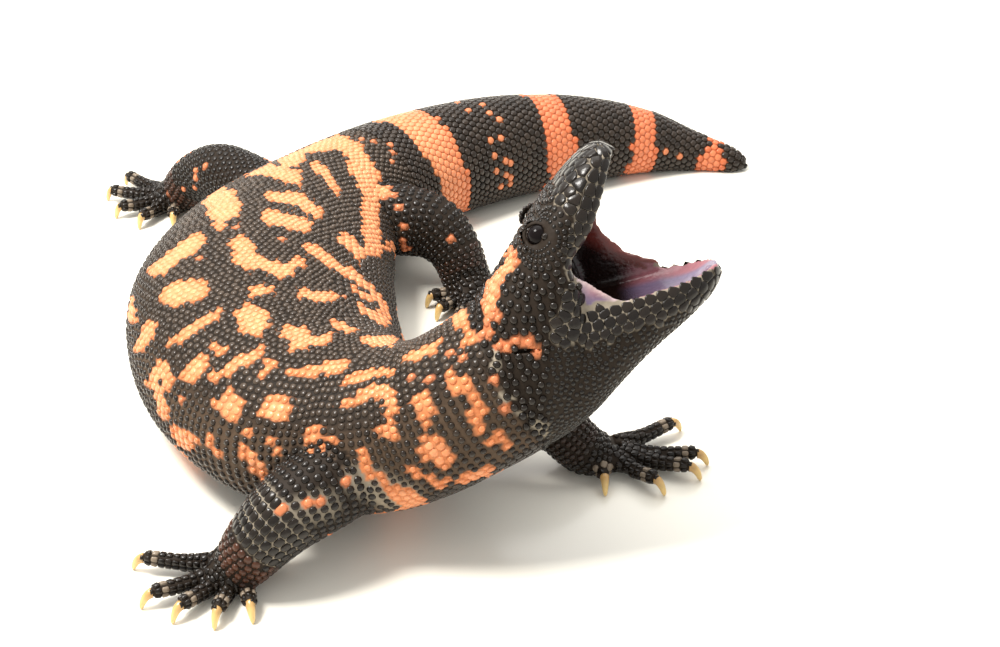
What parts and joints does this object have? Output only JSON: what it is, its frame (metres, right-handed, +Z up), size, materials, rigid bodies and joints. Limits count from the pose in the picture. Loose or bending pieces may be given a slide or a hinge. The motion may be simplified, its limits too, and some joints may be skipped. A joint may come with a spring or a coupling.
{
  "type": "gila monster",
  "caption": "Life-size still model of a gila monster lying in an open curve, head raised to the side and mouth wide open, with beaded skin banded and blotched in orange and black.",
  "frame": {"origin": "middle of the model's box, on the floor it lies on", "axes": "+Z up; the tail lies towards +Y, the chest and neck towards -Y, and the head points to +X"},
  "size_m": [0.241, 0.2764, 0.1113],
  "materials": {
    "head_scales": "glossy black plates and beads with thin pale seams",
    "body_scales": "satin beads, black with orange blotches, over grey-brown skin",
    "tail_scales": "satin beads in black and orange-red bands",
    "foot_scales": "small black scales with pale rings on the toes",
    "claw": "amber horn, slightly clear",
    "eye": "wet black"
  },
  "bodies": {
    "root": {"head": "head_scales", "lower_jaw": "head_scales", "eye_right": "eye", "eye_left": "eye", "neck": "body_scales", "torso_front": "body_scales", "torso_middle": "body_scales", "torso_rear": "body_scales", "tail_base": "tail_scales", "tail_middle": "tail_scales", "tail_tip": "tail_scales", "leg_fore_right_upper": "body_scales", "leg_fore_right_lower": "body_scales", "foot_fore_right": "foot_scales", "claw_fore_right_1": "claw", "claw_fore_right_2": "claw", "claw_fore_right_3": "claw", "claw_fore_right_4": "claw", "claw_fore_right_5": "claw", "leg_fore_left_upper": "body_scales", "leg_fore_left_lower": "body_scales", "foot_fore_left": "foot_scales", "claw_fore_left_1": "claw", "claw_fore_left_2": "claw", "claw_fore_left_3": "claw", "claw_fore_left_4": "claw", "claw_fore_left_5": "claw", "leg_hind_right_upper": "body_scales", "leg_hind_right_lower": "body_scales", "foot_hind_right": "foot_scales", "claw_hind_right_1": "claw", "claw_hind_right_2": "claw", "claw_hind_right_3": "claw", "claw_hind_right_4": "claw", "claw_hind_right_5": "claw", "leg_hind_left_upper": "body_scales", "leg_hind_left_lower": "body_scales", "foot_hind_left": "foot_scales", "claw_hind_left_1": "claw", "claw_hind_left_2": "claw", "claw_hind_left_3": "claw", "claw_hind_left_4": "claw", "claw_hind_left_5": "claw"}
  },
  "joints": []
}
